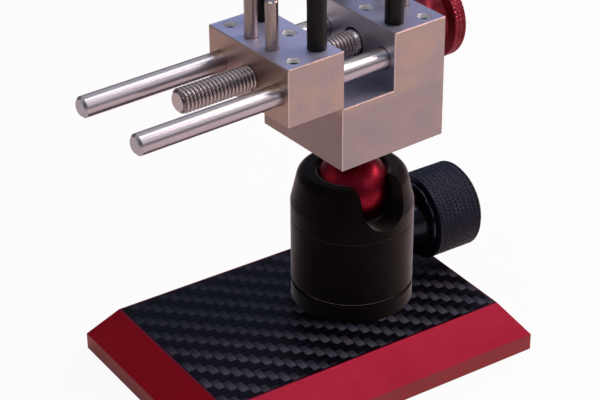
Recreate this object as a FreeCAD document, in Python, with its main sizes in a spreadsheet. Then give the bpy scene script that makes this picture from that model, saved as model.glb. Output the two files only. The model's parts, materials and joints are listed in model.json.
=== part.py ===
"""Small bench vise on a locking ball head and a bevelled base plate.

The frame: +Z is up, the origin is the middle of the underside that the vise stands on,
+X runs along the lead screw towards the jaw knob, and the notch of the ball head faces -Y.
Each sub-part is drawn in a frame of its own and then put in place. The pieces of the vise
itself share one such frame: its origin is the middle of the block's underside, and its X
axis is the line of the screw, turned by head_turn about the ball head's axis.
"""

import FreeCAD, Part
import math
import os
import re
import Sketcher

doc = FreeCAD.newDocument("ball_head_vise")
sheet = doc.addObject("Spreadsheet::Sheet", "sizes")

# ---------------------------------------------------------------- driving dimensions, mm
SIZES = {
    # base plate, its carbon top and the pad that grips the bench
    "base_length": 91.0,
    "base_width": 62.0,
    "base_top": 13.0,
    "base_wall_top": 4.7,
    "bevel_run": 6.2,
    "pad_proud": 0.4,
    "pad_thick": 1.5,
    "pad_margin": 4.0,
    "pad_corner": 6.0,
    "sheet_margin": 0.5,
    "sheet_thick": 0.8,
    "sheet_proud": 0.1,
    # base screw, M6
    "base_screw_dia": 6.0,
    "base_screw_head_dia": 10.0,
    "base_screw_head_high": 6.0,
    "base_screw_sunk": 0.6,
    "screw_clearance": 0.2,
    "base_screw_long": 9.8,
    "hex_socket_share": 0.45,
    # ball head
    "head_offset": 12.9,
    "head_dia": 30.0,
    "foot_high": 4.6,
    "foot_edge": 0.5,
    "pan_gap": 0.1,
    "pivot_dia": 10.0,
    "pivot_fit": 0.05,
    "pan_floor": 3.4,
    "pan_washer_dia": 11.8,
    "pan_washer_thick": 0.8,
    "pan_screw_dia": 4.0,
    "pan_screw_head_dia": 7.6,
    "pan_screw_head_high": 2.2,
    "pan_screw_long": 4.6,
    "foot_step": 4.1,
    "body_seam": 21.9,
    "seam_edge": 0.12,
    "chamber_floor": 11.4,
    "chamber_dia": 19.4,
    "spigot_dia": 24.1,
    "spigot_deep": 4.0,
    "joint_fit": 0.05,
    "cone_start": 26.5,
    "crest_high": 34.9,
    "cone_top_dia": 26.1,
    "lip_dia": 17.0,
    "crest_round": 2.4,
    "lip_round": 1.1,
    "notch_wide": 11.8,
    "notch_centre": 30.5,
    # ball, stem and the stud into the block
    "ball_dia": 19.0,
    "ball_fit": 0.1,
    "ball_high": 29.4,
    "stem_dia": 7.5,
    "flange_dia": 14.0,
    "flange_thick": 0.75,
    "stud_dia": 5.8,
    "stud_fit": 0.05,
    "stud_deep": 9.0,
    "stud_reach": 8.0,
    "block_gap": 0.1,
    # lock: wedge, seat, screw, collar and knob
    "lock_high": 14.8,
    "lock_screw_dia": 5.8,
    "lock_screw_in_knob": 8.45,
    "lock_hole_fit": 0.1,
    "wedge_half_long": 8.0,
    "wedge_wide": 7.0,
    "wedge_low_end": 2.5,
    "wedge_slope": 15.0,
    "slide_gap": 0.1,
    "seat_fit": 0.1,
    "seat_top": 23.9,
    "spotface_dia": 13.4,
    "spotface_deep": 1.0,
    "collar_small_dia": 12.8,
    "collar_large_dia": 19.0,
    "collar_long": 4.9,
    "collar_straight": 1.6,
    "lock_knob_dia": 21.9,
    "lock_knob_long": 13.5,
    "lock_knob_bevel": 1.2,
    "lock_knob_edge": 0.5,
    # vise block: close to a cube, with a slot across its top
    "block_low": 45.4,
    "block_side": 30.0,
    "block_high": 30.4,
    "slot_wide": 15.0,
    "slot_floor": 16.0,
    "edge_break": 0.2,
    "head_turn": 3.9,
    "jaw_float": 0.1,
    "jaw_thick": 15.6,
    "jaw_in_slot": 0.5,
    "jaw_row_inset": 3.9,
    # guide rods, lead screw and its knob
    "rod_dia": 5.0,
    "rod_inset": 4.2,
    "rod_high": 22.8,
    "rod_reach": 67.3,
    "rod_seat": 13.0,
    "rod_fit": 0.02,
    "rod_slide_fit": 0.05,
    "rod_end_bevel": 0.6,
    "screw_dia": 6.0,
    "screw_pitch": 1.0,
    "thread_deep": 0.55,
    "thread_flat": 0.125,
    "screw_reach": 49.2,
    "screw_end_bevel": 0.8,
    "screw_fit": 0.1,
    "screw_mouth": 0.4,
    "clip_dia": 9.0,
    "clip_bore": 5.2,
    "clip_thick": 0.8,
    "clip_gap": 2.2,
    "washer_dia": 11.0,
    "washer_thick": 0.5,
    "hub_small_dia": 10.0,
    "hub_straight": 5.2,
    "hub_large_dia": 15.0,
    "jaw_knob_dia": 20.6,
    "jaw_knob_rim": 3.4,
    "jaw_knob_reach": 10.8,
    "jaw_knob_edge": 0.45,
    "shank_in_knob": 7.5,
    "grub_dia": 2.5,
    "grub_long": 1.8,
    "grub_hex_dia": 1.4,
    "grub_hex_deep": 1.0,
    "grub_from_face": 3.0,
    # pins and sleeved posts in the jaw tops
    "pin_dia": 3.0,
    "pin_fit": 0.05,
    "pin_hole_deep": 3.8,
    "pin_hole_mouth": 0.15,
    "pin_row_inset": 3.75,
    "pin_near_y": 3.95,
    "pin_far_inset": 3.15,
    "post_inset": 5.0,
    "short_pin_high": 11.8,
    "tall_pin_high": 20.0,
    "post_high": 20.0,
    "pin_end_bevel": 0.3,
    "sleeve_dia": 4.5,
    "sleeve_fit": 0.02,
    "sleeve_short_of_end": 0.6,
    "sleeve_lift": 0.1,
}

# sizes that follow from the driving ones
DERIVED = {
    "plate_high": "base_top - pad_proud",
    "sheet_top": "base_top + sheet_proud",
    "foot_floor": "sheet_top",
    "head_floor": "foot_floor + foot_high + pan_gap",
    "ball_centre": "foot_floor + ball_high",
    "block_floor": "foot_floor + block_low",
    "stem_top": "block_floor - block_gap",
    "lock_axis": "foot_floor + lock_high",
    "wedge_floor": "foot_floor + chamber_floor + slide_gap",
    "wedge_rise": "2 * wedge_half_long * tan(wedge_slope * 1 deg)",
    "spotface_at": "head_dia / 2 - spotface_deep",
    "collar_start": "spotface_at + pan_gap",
    "lock_knob_start": "collar_start + collar_long + joint_fit",
    "lock_screw_end": "lock_knob_start + lock_screw_in_knob",
    "rod_spacing": "block_side - 2 * rod_inset",
    "pin_far_y": "block_side / 2 - pin_far_inset",
    "post_y": "block_side / 2 - post_inset",
    "slot_face": "slot_wide - block_side / 2",
    "jaw_front": "jaw_in_slot - block_side / 2",
    "jaw_back": "jaw_front - jaw_thick",
    "block_end": "block_side / 2",
    "washer_face": "block_end - washer_thick",
    "clip_face": "washer_face - clip_thick - 2 * joint_fit",
    "knob_face": "block_end + joint_fit",
    "knob_end": "block_end + jaw_knob_reach",
}

WORD = re.compile(r"[a-z_]+[a-z]")


def in_sheet(text):
    """The expression with every size's name pointed at the sheet."""
    known = set(SIZES) | set(DERIVED)
    return WORD.sub(lambda m: "sizes." + m.group(0) if m.group(0) in known else m.group(0), str(text))


def fill_sheet():
    """Writes the driving dimensions as plain numbers, and the derived ones as formulas."""
    row = 1
    for name, value in SIZES.items():
        sheet.set("A%d" % row, name)
        sheet.set("B%d" % row, str(value))
        sheet.setAlias("B%d" % row, name)
        row += 1
    for name, text in DERIVED.items():
        sheet.set("A%d" % row, name)
        sheet.setAlias("B%d" % row, name)
        row += 1
    row = 1 + len(SIZES)
    for text in DERIVED.values():
        sheet.set("B%d" % row, "=" + text)
        row += 1
    doc.recompute()


def size(name):
    """The value of one cell of the sheet, as a number."""
    value = sheet.get(name)
    return float(getattr(value, "Value", value))


def bind(thing, prop, text):
    thing.setExpression(prop, in_sheet(text))


# ---------------------------------------------------------------- how sub-parts are drawn

# where a sketch's points lie, and how far apart, before its constraints move them
LOOSE = FreeCAD.Vector(50, 50, 0)
LOOSE_WIDE = 9


def new_body(label):
    body = doc.addObject("PartDesign::Body", label + "_body")
    body.Label = label
    return body


def plane_of(body, role):
    return next(f for f in body.Origin.OriginFeatures if f.Role == role)


def new_sketch(body, role, lift=None):
    """A sketch on one of the body's own planes, lifted off it by an expression."""
    made = body.newObject("Sketcher::SketchObject", body.Label + "_sketch")
    made.AttachmentSupport = (plane_of(body, role), [""])
    made.MapMode = "FlatFace"
    if lift is not None:
        bind(made, "AttachmentOffset.Base.z", lift)
    return made


def hold(made, geo, point, x, y):
    """Ties one point of a sketch to its x and y, each an expression."""
    for axis, text, line in (("X", x, -2), ("Y", y, -1)):
        if str(text) == "0":
            made.addConstraint(Sketcher.Constraint("PointOnObject", geo, point, line))
            continue
        here = made.getPoint(geo, point)
        now = here.x if axis == "X" else here.y
        index = made.addConstraint(Sketcher.Constraint("Distance" + axis, -1, 1, geo, point, now))
        bind(made, "Constraints[%d]" % index, text)


def outline(made, corners):
    """A closed outline of straight lines through corners, each a pair of expressions."""
    count = len(corners)
    turns = [2 * math.pi * i / count for i in range(count)]
    ring = [LOOSE + FreeCAD.Vector(math.cos(turn), math.sin(turn), 0) * LOOSE_WIDE for turn in turns]
    lines = []
    for here, there in zip(ring, ring[1:] + ring[:1]):
        lines.append(made.addGeometry(Part.LineSegment(here, there), False))
    for i in range(count):
        made.addConstraint(Sketcher.Constraint("Coincident", lines[i], 2, lines[(i + 1) % count], 1))
    for line, (x, y) in zip(lines, corners):
        hold(made, line, 1, x, y)
    return made


def circle(made, x, y, radius):
    """A circle whose centre and radius are expressions."""
    start = LOOSE + FreeCAD.Vector(LOOSE_WIDE * made.GeometryCount, 0, 0)
    geo = made.addGeometry(Part.Circle(start, FreeCAD.Vector(0, 0, 1), 1.0), False)
    hold(made, geo, 3, x, y)
    index = made.addConstraint(Sketcher.Constraint("Radius", geo, 1.0))
    bind(made, "Constraints[%d]" % index, radius)
    return made


def feature(body, kind, made):
    added = body.newObject("PartDesign::" + kind, body.Label + "_" + kind.lower())
    added.Profile = made
    made.Visibility = False
    return added


def pad(body, made, length, midplane=False):
    added = feature(body, "Pad", made)
    bind(added, "Length", length)
    added.Midplane = midplane
    doc.recompute()
    return added


def pocket(body, made, length, forward=False, midplane=False):
    """Cuts along the sketch's normal if forward, and against it if not."""
    before = body.Shape.Volume
    added = feature(body, "Pocket", made)
    bind(added, "Length", length)
    added.Reversed = forward
    added.Midplane = midplane
    doc.recompute()
    if not body.Shape.Volume < before - 1e-3:
        raise ValueError("a pocket of %s cuts nothing" % body.Label)
    return added


def revolve(body, made, axis):
    added = feature(body, "Revolution", made)
    added.ReferenceAxis = (made, [axis])
    added.Angle = 360.0
    doc.recompute()
    return added


def turned(label, corners, along="Z"):
    """A turned piece. Along Z its corners are (radius, z), and along X they are (x, radius)."""
    body = new_body(label)
    made = outline(new_sketch(body, "XZ_Plane"), corners)
    revolve(body, made, "V_Axis" if along == "Z" else "H_Axis")
    return body


def is_round(edge):
    return hasattr(edge.Curve, "Radius")


def upright(edge):
    return abs(edge.Vertexes[0].Z - edge.Vertexes[-1].Z) > 1e-6


def edges_where(shape, test):
    """The names of the edges that pass the test, which is given the edge and its middle point."""
    found = []
    for number, edge in enumerate(shape.Edges, 1):
        middle = edge.valueAt((edge.FirstParameter + edge.LastParameter) / 2)
        if test(edge, middle):
            found.append("Edge%d" % number)
    return found


def dress(body, kind, base, names, **sizes_of):
    """A fillet or chamfer on the named edges of the body's last feature."""
    if not names:
        raise ValueError("no edge of %s to dress" % body.Label)
    added = body.newObject("PartDesign::" + kind, body.Label + "_" + kind.lower())
    added.Base = (base, names)
    for prop, text in sizes_of.items():
        bind(added, prop, text)
    doc.recompute()
    return added


def put(made, x="0", y="0", z="0", turned_with_vise=False):
    """Places a sub-part. Pieces of the vise turn with it about the ball head's axis."""
    if turned_with_vise:
        turn = "head_turn * 1 deg"
        bind(made, "Placement.Base.x", f"head_offset + ({x}) * cos({turn}) - ({y}) * sin({turn})")
        bind(made, "Placement.Base.y", f"({x}) * sin({turn}) + ({y}) * cos({turn})")
        bind(made, "Placement.Base.z", f"block_floor + ({z})")
        made.Placement.Rotation = FreeCAD.Rotation(FreeCAD.Vector(0, 0, 1), 1)
        bind(made, "Placement.Rotation.Angle", turn)
    else:
        bind(made, "Placement.Base.x", x)
        bind(made, "Placement.Base.y", y)
        bind(made, "Placement.Base.z", z)
    nodes.append(made)
    return made


def solid(kind, label, **props):
    """A primitive of the Part workbench with its properties bound."""
    made = doc.addObject("Part::" + kind, label)
    for prop, text in props.items():
        bind(made, prop.replace("__", "."), text)
    return made


def joined(label, *shapes):
    made = doc.addObject("Part::MultiFuse", label)
    made.Shapes = list(shapes)
    return made


def cut(label, base, tool):
    made = doc.addObject("Part::Cut", label)
    made.Base = base
    made.Tool = tool
    return made


# ---------------------------------------------------------------- base

# radii of the holes that the base screw's head and shank stand in
SCREW_HEAD_HOLE = "base_screw_head_dia / 2 + screw_clearance"
SCREW_SHANK_HOLE = "base_screw_dia / 2 + screw_clearance"


def base_plate():
    """Plate with a steep bevel all round, sunk for the sheet above and the pad below."""
    body = new_body("base_plate")
    half_x, half_y = "base_length / 2", "base_width / 2"
    made = rectangle(new_sketch(body, "XY_Plane"), half_x, half_y)
    block = pad(body, made, "plate_high")
    top = size("plate_high")
    names = edges_where(block.Shape, lambda e, m: abs(m.z - top) < 1e-6)
    bevel = body.newObject("PartDesign::Chamfer", "base_plate_bevel")
    bevel.Base = (block, names)
    bevel.ChamferType = 1
    bind(bevel, "Size", "base_top - base_wall_top")
    bind(bevel, "Size2", "bevel_run")
    doc.recompute()
    inset = "(bevel_run + sheet_margin)"
    top_plane = new_sketch(body, "XY_Plane", "plate_high")
    made = rectangle(top_plane, f"{half_x} - {inset}", f"{half_y} - {inset}")
    pocket(body, made, "sheet_thick - sheet_proud")
    made = rectangle(new_sketch(body, "XY_Plane"), f"{half_x} - pad_margin", f"{half_y} - pad_margin")
    pocket(body, made, "pad_thick - pad_proud", forward=True)
    made = circle(new_sketch(body, "XY_Plane"), "head_offset", "0", SCREW_HEAD_HOLE)
    pocket(body, made, "base_screw_sunk + base_screw_head_high", forward=True)
    made = circle(new_sketch(body, "XY_Plane"), "head_offset", "0", SCREW_SHANK_HOLE)
    pocket(body, made, "plate_high", forward=True)
    put(body, z="pad_proud")


def rectangle(made, half_x, half_y):
    """A rectangle centred on the sketch's origin."""
    return outline(
        made,
        [
            (f"0 - ({half_x})", f"0 - ({half_y})"),
            (half_x, f"0 - ({half_y})"),
            (half_x, half_y),
            (f"0 - ({half_x})", half_y),
        ],
    )


def carbon_sheet():
    """Sheet let into the top of the plate, with a hole for the base screw."""
    body = new_body("carbon_sheet")
    inset = "(bevel_run + sheet_margin + joint_fit)"
    made = new_sketch(body, "XY_Plane")
    rectangle(made, f"base_length / 2 - {inset}", f"base_width / 2 - {inset}")
    circle(made, "head_offset", "0", SCREW_SHANK_HOLE)
    pad(body, made, "sheet_thick")
    put(body, z="sheet_top - sheet_thick")


def grip_pad():
    """Soft pad under the plate, rounded at its corners, with a hole to reach the base screw."""
    body = new_body("grip_pad")
    inset = "(pad_margin + joint_fit)"
    made = new_sketch(body, "XY_Plane")
    rectangle(made, f"base_length / 2 - {inset}", f"base_width / 2 - {inset}")
    circle(made, "head_offset", "0", SCREW_HEAD_HOLE)
    block = pad(body, made, "pad_thick")
    end = size("base_length") / 2 - size("pad_margin") - size("joint_fit")
    names = edges_where(block.Shape, lambda e, m: upright(e) and abs(abs(m.x) - end) < 1e-6)
    dress(body, "Fillet", block, names, Radius="pad_corner")
    put(body)


def cap_screw(label, dia, head_dia, head_high, shank_long):
    """A socket head screw along +Z, with its head below z = 0 and its shank above."""
    head = solid("Cylinder", label + "_head", Radius=f"{head_dia} / 2", Height=head_high)
    bind(head, "Placement.Base.z", f"0 - {head_high}")
    shank = solid("Cylinder", label + "_shank", Radius=f"{dia} / 2", Height=shank_long)
    whole = joined(label + "_blank", head, shank)
    hexagon = solid("Prism", label + "_hex", Circumradius=f"{dia} * hex_socket_share")
    bind(hexagon, "Height", f"{head_high} / 2")
    hexagon.Polygon = 6
    bind(hexagon, "Placement.Base.z", f"0 - {head_high}")
    made = cut(label, whole, hexagon)
    made.Label = label
    return made


def base_screw():
    """Holds the ball head's foot to the plate from below."""
    made = cap_screw(
        "base_screw",
        "base_screw_dia",
        "base_screw_head_dia",
        "base_screw_head_high",
        "base_screw_long",
    )
    put(made, x="head_offset", z="pad_proud + base_screw_sunk + base_screw_head_high")


# ---------------------------------------------------------------- ball head


def head_foot():
    """Fixed ring under the head, with a pivot that the head pans on."""
    bore = "base_screw_dia / 2 + joint_fit"
    pin = "pan_screw_dia / 2 + joint_fit"
    pivot = "pivot_dia / 2"
    edge = "head_dia / 2"
    pivot_top = "foot_high + pan_gap + pan_floor + pan_gap"
    body = turned(
        "head_foot",
        [
            (bore, "0"),
            (edge, "0"),
            (edge, "foot_high - foot_edge"),
            (f"{edge} - foot_edge", "foot_high"),
            (pivot, "foot_high"),
            (pivot, pivot_top),
            (pin, pivot_top),
            (pin, "foot_step"),
            (bore, "foot_step"),
        ],
    )
    put(body, x="head_offset", z="foot_floor")


def pan_washer():
    """Keeps the head on its pivot: it is wider than the pivot and bears on its top."""
    inner = "pan_screw_dia / 2 + joint_fit"
    outer = "pan_washer_dia / 2"
    body = turned(
        "pan_washer",
        [(inner, "0"), (outer, "0"), (outer, "pan_washer_thick"), (inner, "pan_washer_thick")],
    )
    put(body, x="head_offset", z="head_floor + pan_floor + pan_gap")


def pan_screw():
    """Clamps the washer to the pivot, head up."""
    made = cap_screw(
        "pan_screw",
        "pan_screw_dia",
        "pan_screw_head_dia",
        "pan_screw_head_high",
        "pan_screw_long",
    )
    made.Placement.Rotation = FreeCAD.Rotation(FreeCAD.Vector(1, 0, 0), 180)
    put(made, x="head_offset", z="head_floor + pan_floor + pan_gap + pan_washer_thick")


def head_body():
    """Lower casing: pivot bore, chamber of the lock, and the seat of the socket's spigot."""
    edge = "head_dia / 2"
    bore = "pivot_dia / 2 + pivot_fit"
    recess = "pan_washer_dia / 2 + screw_clearance"
    chamber = "chamber_dia / 2"
    spigot = "spigot_dia / 2 + joint_fit"
    floor = "chamber_floor - foot_high - pan_gap"
    seam = "body_seam - foot_high - pan_gap"
    body = turned(
        "head_body",
        [
            (bore, "0"),
            (f"{edge} - foot_edge", "0"),
            (edge, "foot_edge"),
            (edge, f"{seam} - seam_edge"),
            (f"{edge} - seam_edge", seam),
            (spigot, seam),
            (spigot, f"{seam} - spigot_deep"),
            (chamber, f"{seam} - spigot_deep"),
            (chamber, floor),
            (recess, floor),
            (recess, "pan_floor"),
            (bore, "pan_floor"),
        ],
    )
    axis = "lock_axis - head_floor"
    made = circle(new_sketch(body, "YZ_Plane"), "0", axis, "lock_screw_dia / 2 + lock_hole_fit")
    pocket(body, made, edge, forward=True)
    made = circle(new_sketch(body, "YZ_Plane", "spotface_at"), "0", axis, "spotface_dia / 2")
    pocket(body, made, edge, forward=True)
    put(body, x="head_offset", z="head_floor")


def head_socket():
    """Upper casing: it holds the ball under its lip, and its notch lets the stem lie flat."""
    edge = "head_dia / 2"
    bore = "chamber_dia / 2"
    spigot = "spigot_dia / 2"
    lip = "lip_dia / 2"
    foot = "body_seam - spigot_deep + joint_fit"
    body = turned(
        "head_socket",
        [
            (bore, foot),
            (spigot, foot),
            (spigot, "body_seam"),
            (f"{edge} - seam_edge", "body_seam"),
            (edge, "body_seam + seam_edge"),
            (edge, "cone_start"),
            ("cone_top_dia / 2", "crest_high"),
            (lip, "crest_high"),
            (lip, "ball_high"),
            (bore, "ball_high"),
        ],
    )
    crest, wide, narrow = size("crest_high"), size("cone_top_dia") / 2, size("lip_dia") / 2
    for radius, name in ((wide, "crest_round"), (narrow, "lip_round")):
        names = edges_where(
            body.Shape, lambda e, m: abs(m.z - crest) < 1e-6 and abs(math.hypot(m.x, m.y) - radius) < 1e-6
        )
        dress(body, "Fillet", body.Tip, names, Radius=name)
    cup = body.newObject("PartDesign::SubtractiveSphere", "head_socket_cup")
    bind(cup, "Radius", "ball_dia / 2 + ball_fit")
    bind(cup, "AttachmentOffset.Base.z", "ball_high")
    cup.AttachmentSupport = (plane_of(body, "XY_Plane"), [""])
    cup.MapMode = "FlatFace"
    doc.recompute()
    half = "notch_wide / 2"
    made = circle(new_sketch(body, "XZ_Plane"), "0", "notch_centre", half)
    pocket(body, made, edge, forward=True)
    made = outline(
        new_sketch(body, "XZ_Plane"),
        [
            (f"0 - {half}", "notch_centre"),
            (half, "notch_centre"),
            (half, "crest_high + notch_wide"),
            (f"0 - {half}", "crest_high + notch_wide"),
        ],
    )
    pocket(body, made, edge, forward=True)
    put(body, x="head_offset", z="foot_floor")


def ball_seat():
    """Cup that presses the ball up into the socket, with a sloping underside."""
    body = new_body("ball_seat")
    low = "chamber_floor + slide_gap"
    made = circle(new_sketch(body, "XY_Plane", low), "0", "0", "chamber_dia / 2 - seat_fit")
    pad(body, made, f"seat_top - ({low})")
    far = "chamber_dia"
    slope = "tan(wedge_slope * 1 deg)"
    at_end = "chamber_floor + slide_gap + wedge_low_end + slide_gap"
    made = outline(
        new_sketch(body, "XZ_Plane"),
        [
            (f"0 - {far}", "0"),
            (far, "0"),
            (far, f"{at_end} + ({far} + wedge_half_long) * {slope}"),
            (f"0 - {far}", f"{at_end} - ({far} - wedge_half_long) * {slope}"),
        ],
    )
    pocket(body, made, "2 * chamber_dia", midplane=True)
    cup = body.newObject("PartDesign::SubtractiveSphere", "ball_seat_cup")
    bind(cup, "Radius", "ball_dia / 2 + ball_fit")
    bind(cup, "AttachmentOffset.Base.z", "ball_high")
    cup.AttachmentSupport = (plane_of(body, "XY_Plane"), [""])
    cup.MapMode = "FlatFace"
    doc.recompute()
    put(body, x="head_offset", z="foot_floor")


def lock_wedge():
    """Slides along X on the chamber's floor, driven by the lock screw, and lifts the seat."""
    body = new_body("lock_wedge")
    made = outline(
        new_sketch(body, "XZ_Plane"),
        [
            ("0 - wedge_half_long", "0"),
            ("wedge_half_long", "0"),
            ("wedge_half_long", "wedge_low_end + wedge_rise"),
            ("0 - wedge_half_long", "wedge_low_end"),
        ],
    )
    pad(body, made, "wedge_wide", midplane=True)
    put(body, x="head_offset", z="wedge_floor")


def lock_screw():
    """Runs through the casing's wall from the wedge into the lock knob."""
    start = "wedge_half_long + slide_gap"
    radius = "lock_screw_dia / 2"
    body = turned(
        "lock_screw",
        [
            (start, "0"),
            (start, f"{radius} - foot_edge"),
            (f"{start} + foot_edge", radius),
            ("lock_screw_end", radius),
            ("lock_screw_end", "0"),
        ],
        along="X",
    )
    put(body, x="head_offset", z="lock_axis")


def lock_collar():
    """Flared collar between the casing and the lock knob."""
    inner = "lock_screw_dia / 2 + joint_fit"
    end = "collar_start + collar_long"
    body = turned(
        "lock_collar",
        [
            ("collar_start", inner),
            ("collar_start", "collar_small_dia / 2"),
            ("collar_start + collar_straight", "collar_small_dia / 2"),
            (f"{end} - foot_edge", "collar_large_dia / 2"),
            (end, "collar_large_dia / 2"),
            (end, inner),
        ],
        along="X",
    )
    put(body, x="head_offset", z="lock_axis")


def lock_knob():
    """Knob that drives the lock screw, bored blind for it."""
    inner = "lock_screw_dia / 2 + joint_fit"
    radius = "lock_knob_dia / 2"
    end = "lock_knob_start + lock_knob_long"
    body = turned(
        "lock_knob",
        [
            ("lock_knob_start", inner),
            ("lock_knob_start", f"{radius} - lock_knob_edge"),
            ("lock_knob_start + lock_knob_edge", radius),
            (f"{end} - lock_knob_bevel", radius),
            (end, f"{radius} - lock_knob_bevel"),
            (end, "0"),
            ("lock_screw_end + joint_fit", "0"),
            ("lock_screw_end + joint_fit", inner),
        ],
        along="X",
    )
    put(body, x="head_offset", z="lock_axis")


def ball_stem():
    """Ball, stem and flange in one piece, bored for the stud. Its origin is the ball's centre."""
    reach = "stem_top - ball_centre"
    ball = solid("Sphere", "ball_stem_ball", Radius="ball_dia / 2")
    stem = solid("Cylinder", "ball_stem_stem", Radius="stem_dia / 2", Height=reach)
    flange = solid("Cylinder", "ball_stem_flange", Radius="flange_dia / 2", Height="flange_thick")
    bind(flange, "Placement.Base.z", f"{reach} - flange_thick")
    bore = solid("Cylinder", "ball_stem_bore", Radius="stud_dia / 2 + stud_fit", Height="stud_deep")
    bind(bore, "Placement.Base.z", f"{reach} - stud_deep")
    made = cut("ball_stem", joined("ball_stem_blank", ball, stem, flange), bore)
    made.Label = "ball_stem"
    put(made, x="head_offset", z="ball_centre")


def stem_stud():
    """Stud that stands in the stem and that the block turns on."""
    radius = "stud_dia / 2"
    low = "joint_fit - stud_deep"
    body = turned(
        "stem_stud",
        [
            ("0", low),
            (radius, low),
            (radius, "stud_reach - foot_edge"),
            (f"{radius} - foot_edge", "stud_reach"),
            ("0", "stud_reach"),
        ],
    )
    put(body, x="head_offset", z="stem_top")


# ---------------------------------------------------------------- vise


def pin_places(row_near, row_far):
    """The seven holes of one jaw: three in the row by the gap, four in the row away from it."""
    near = [(row_near, y) for y in ("0", "post_y", "0 - post_y")]
    far = [(row_far, y) for y in ("pin_near_y", "0 - pin_near_y", "pin_far_y", "0 - pin_far_y")]
    return near + far


def drill_pins(body, lift, row_near, row_far):
    """Drills the pin holes down from the jaw's top, with a small countersink at each mouth."""
    made = new_sketch(body, "XY_Plane", lift)
    for x, y in pin_places(row_near, row_far):
        circle(made, x, y, "pin_dia / 2 + pin_fit")
    drilled = pocket(body, made, "pin_hole_deep")
    top = size("block_high")
    names = edges_where(drilled.Shape, lambda e, m: abs(m.z - top) < 1e-6 and is_round(e))
    dress(body, "Chamfer", drilled, names, Size="pin_hole_mouth")


def vise_block():
    """Block with a slot across its top: what stands on is the fixed jaw."""
    body = new_body("vise_block")
    half = "block_side / 2"
    made = outline(
        new_sketch(body, "XZ_Plane"),
        [
            (f"0 - {half}", "0"),
            (half, "0"),
            (half, "block_high"),
            ("slot_face", "block_high"),
            ("slot_face", "slot_floor"),
            (f"0 - {half}", "slot_floor"),
        ],
    )
    block = pad(body, made, "block_side", midplane=True)
    corner_x, corner_z = size("slot_face"), size("slot_floor")
    names = edges_where(block.Shape, lambda e, m: abs(m.x - corner_x) + abs(m.z - corner_z) > 1e-6)
    dress(body, "Chamfer", block, names, Size="edge_break")
    drill_pins(body, "block_high", "slot_face + pin_row_inset", f"{half} - pin_row_inset")
    for side in ("rod_spacing / 2", "0 - rod_spacing / 2"):
        made = circle(new_sketch(body, "YZ_Plane", "slot_face"), side, "rod_high", "rod_dia / 2 + rod_fit")
        pocket(body, made, "rod_seat", forward=True)
    made = circle(new_sketch(body, "YZ_Plane", "slot_face"), "0", "rod_high", "screw_dia / 2 + screw_fit")
    pocket(body, made, "block_side", forward=True)
    names = edges_where(
        body.Shape,
        lambda e, m: abs(m.x - corner_x) < 1e-6 and is_round(e) and abs(e.CenterOfMass.y) < 1e-6,
    )
    dress(body, "Chamfer", body.Tip, names, Size="screw_mouth")
    made = circle(new_sketch(body, "YZ_Plane", "block_end"), "0", "rod_high", "washer_dia / 2 + joint_fit")
    pocket(body, made, "block_end - clip_face + joint_fit")
    made = circle(new_sketch(body, "XY_Plane"), "0", "0", "stud_dia / 2 + stud_fit")
    pocket(body, made, "stud_reach + screw_clearance", forward=True)
    put(body, turned_with_vise=True)


def moving_jaw():
    """Jaw that runs on the two rods and is drawn by the lead screw."""
    body = new_body("moving_jaw")
    low = "slot_floor + jaw_float"
    made = outline(
        new_sketch(body, "XZ_Plane"),
        [
            ("jaw_back", low),
            ("jaw_front", low),
            ("jaw_front", "block_high"),
            ("jaw_back", "block_high"),
        ],
    )
    block = pad(body, made, "block_side", midplane=True)
    dress(body, "Chamfer", block, edges_where(block.Shape, lambda e, m: True), Size="edge_break")
    drill_pins(body, "block_high", "jaw_front - jaw_row_inset", "jaw_back + jaw_row_inset")
    for side in ("rod_spacing / 2", "0 - rod_spacing / 2"):
        back_plane = new_sketch(body, "YZ_Plane", "jaw_back")
        made = circle(back_plane, side, "rod_high", "rod_dia / 2 + rod_slide_fit")
        pocket(body, made, "jaw_thick", forward=True)
    made = circle(new_sketch(body, "YZ_Plane", "jaw_back"), "0", "rod_high", "screw_dia / 2 + screw_fit")
    pocket(body, made, "jaw_thick", forward=True)
    put(body, turned_with_vise=True)


def guide_rod(label, side):
    """Polished rod, seated blind in the fixed jaw, bevelled at both ends."""
    radius = "rod_dia / 2"
    far = "slot_face + rod_seat - joint_fit"
    body = turned(
        label,
        [
            ("0 - rod_reach", "0"),
            ("0 - rod_reach", f"{radius} - rod_end_bevel"),
            ("rod_end_bevel - rod_reach", radius),
            (f"{far} - rod_end_bevel", radius),
            (far, f"{radius} - rod_end_bevel"),
            (far, "0"),
        ],
        along="X",
    )
    put(body, y=side, z="rod_high", turned_with_vise=True)


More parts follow.
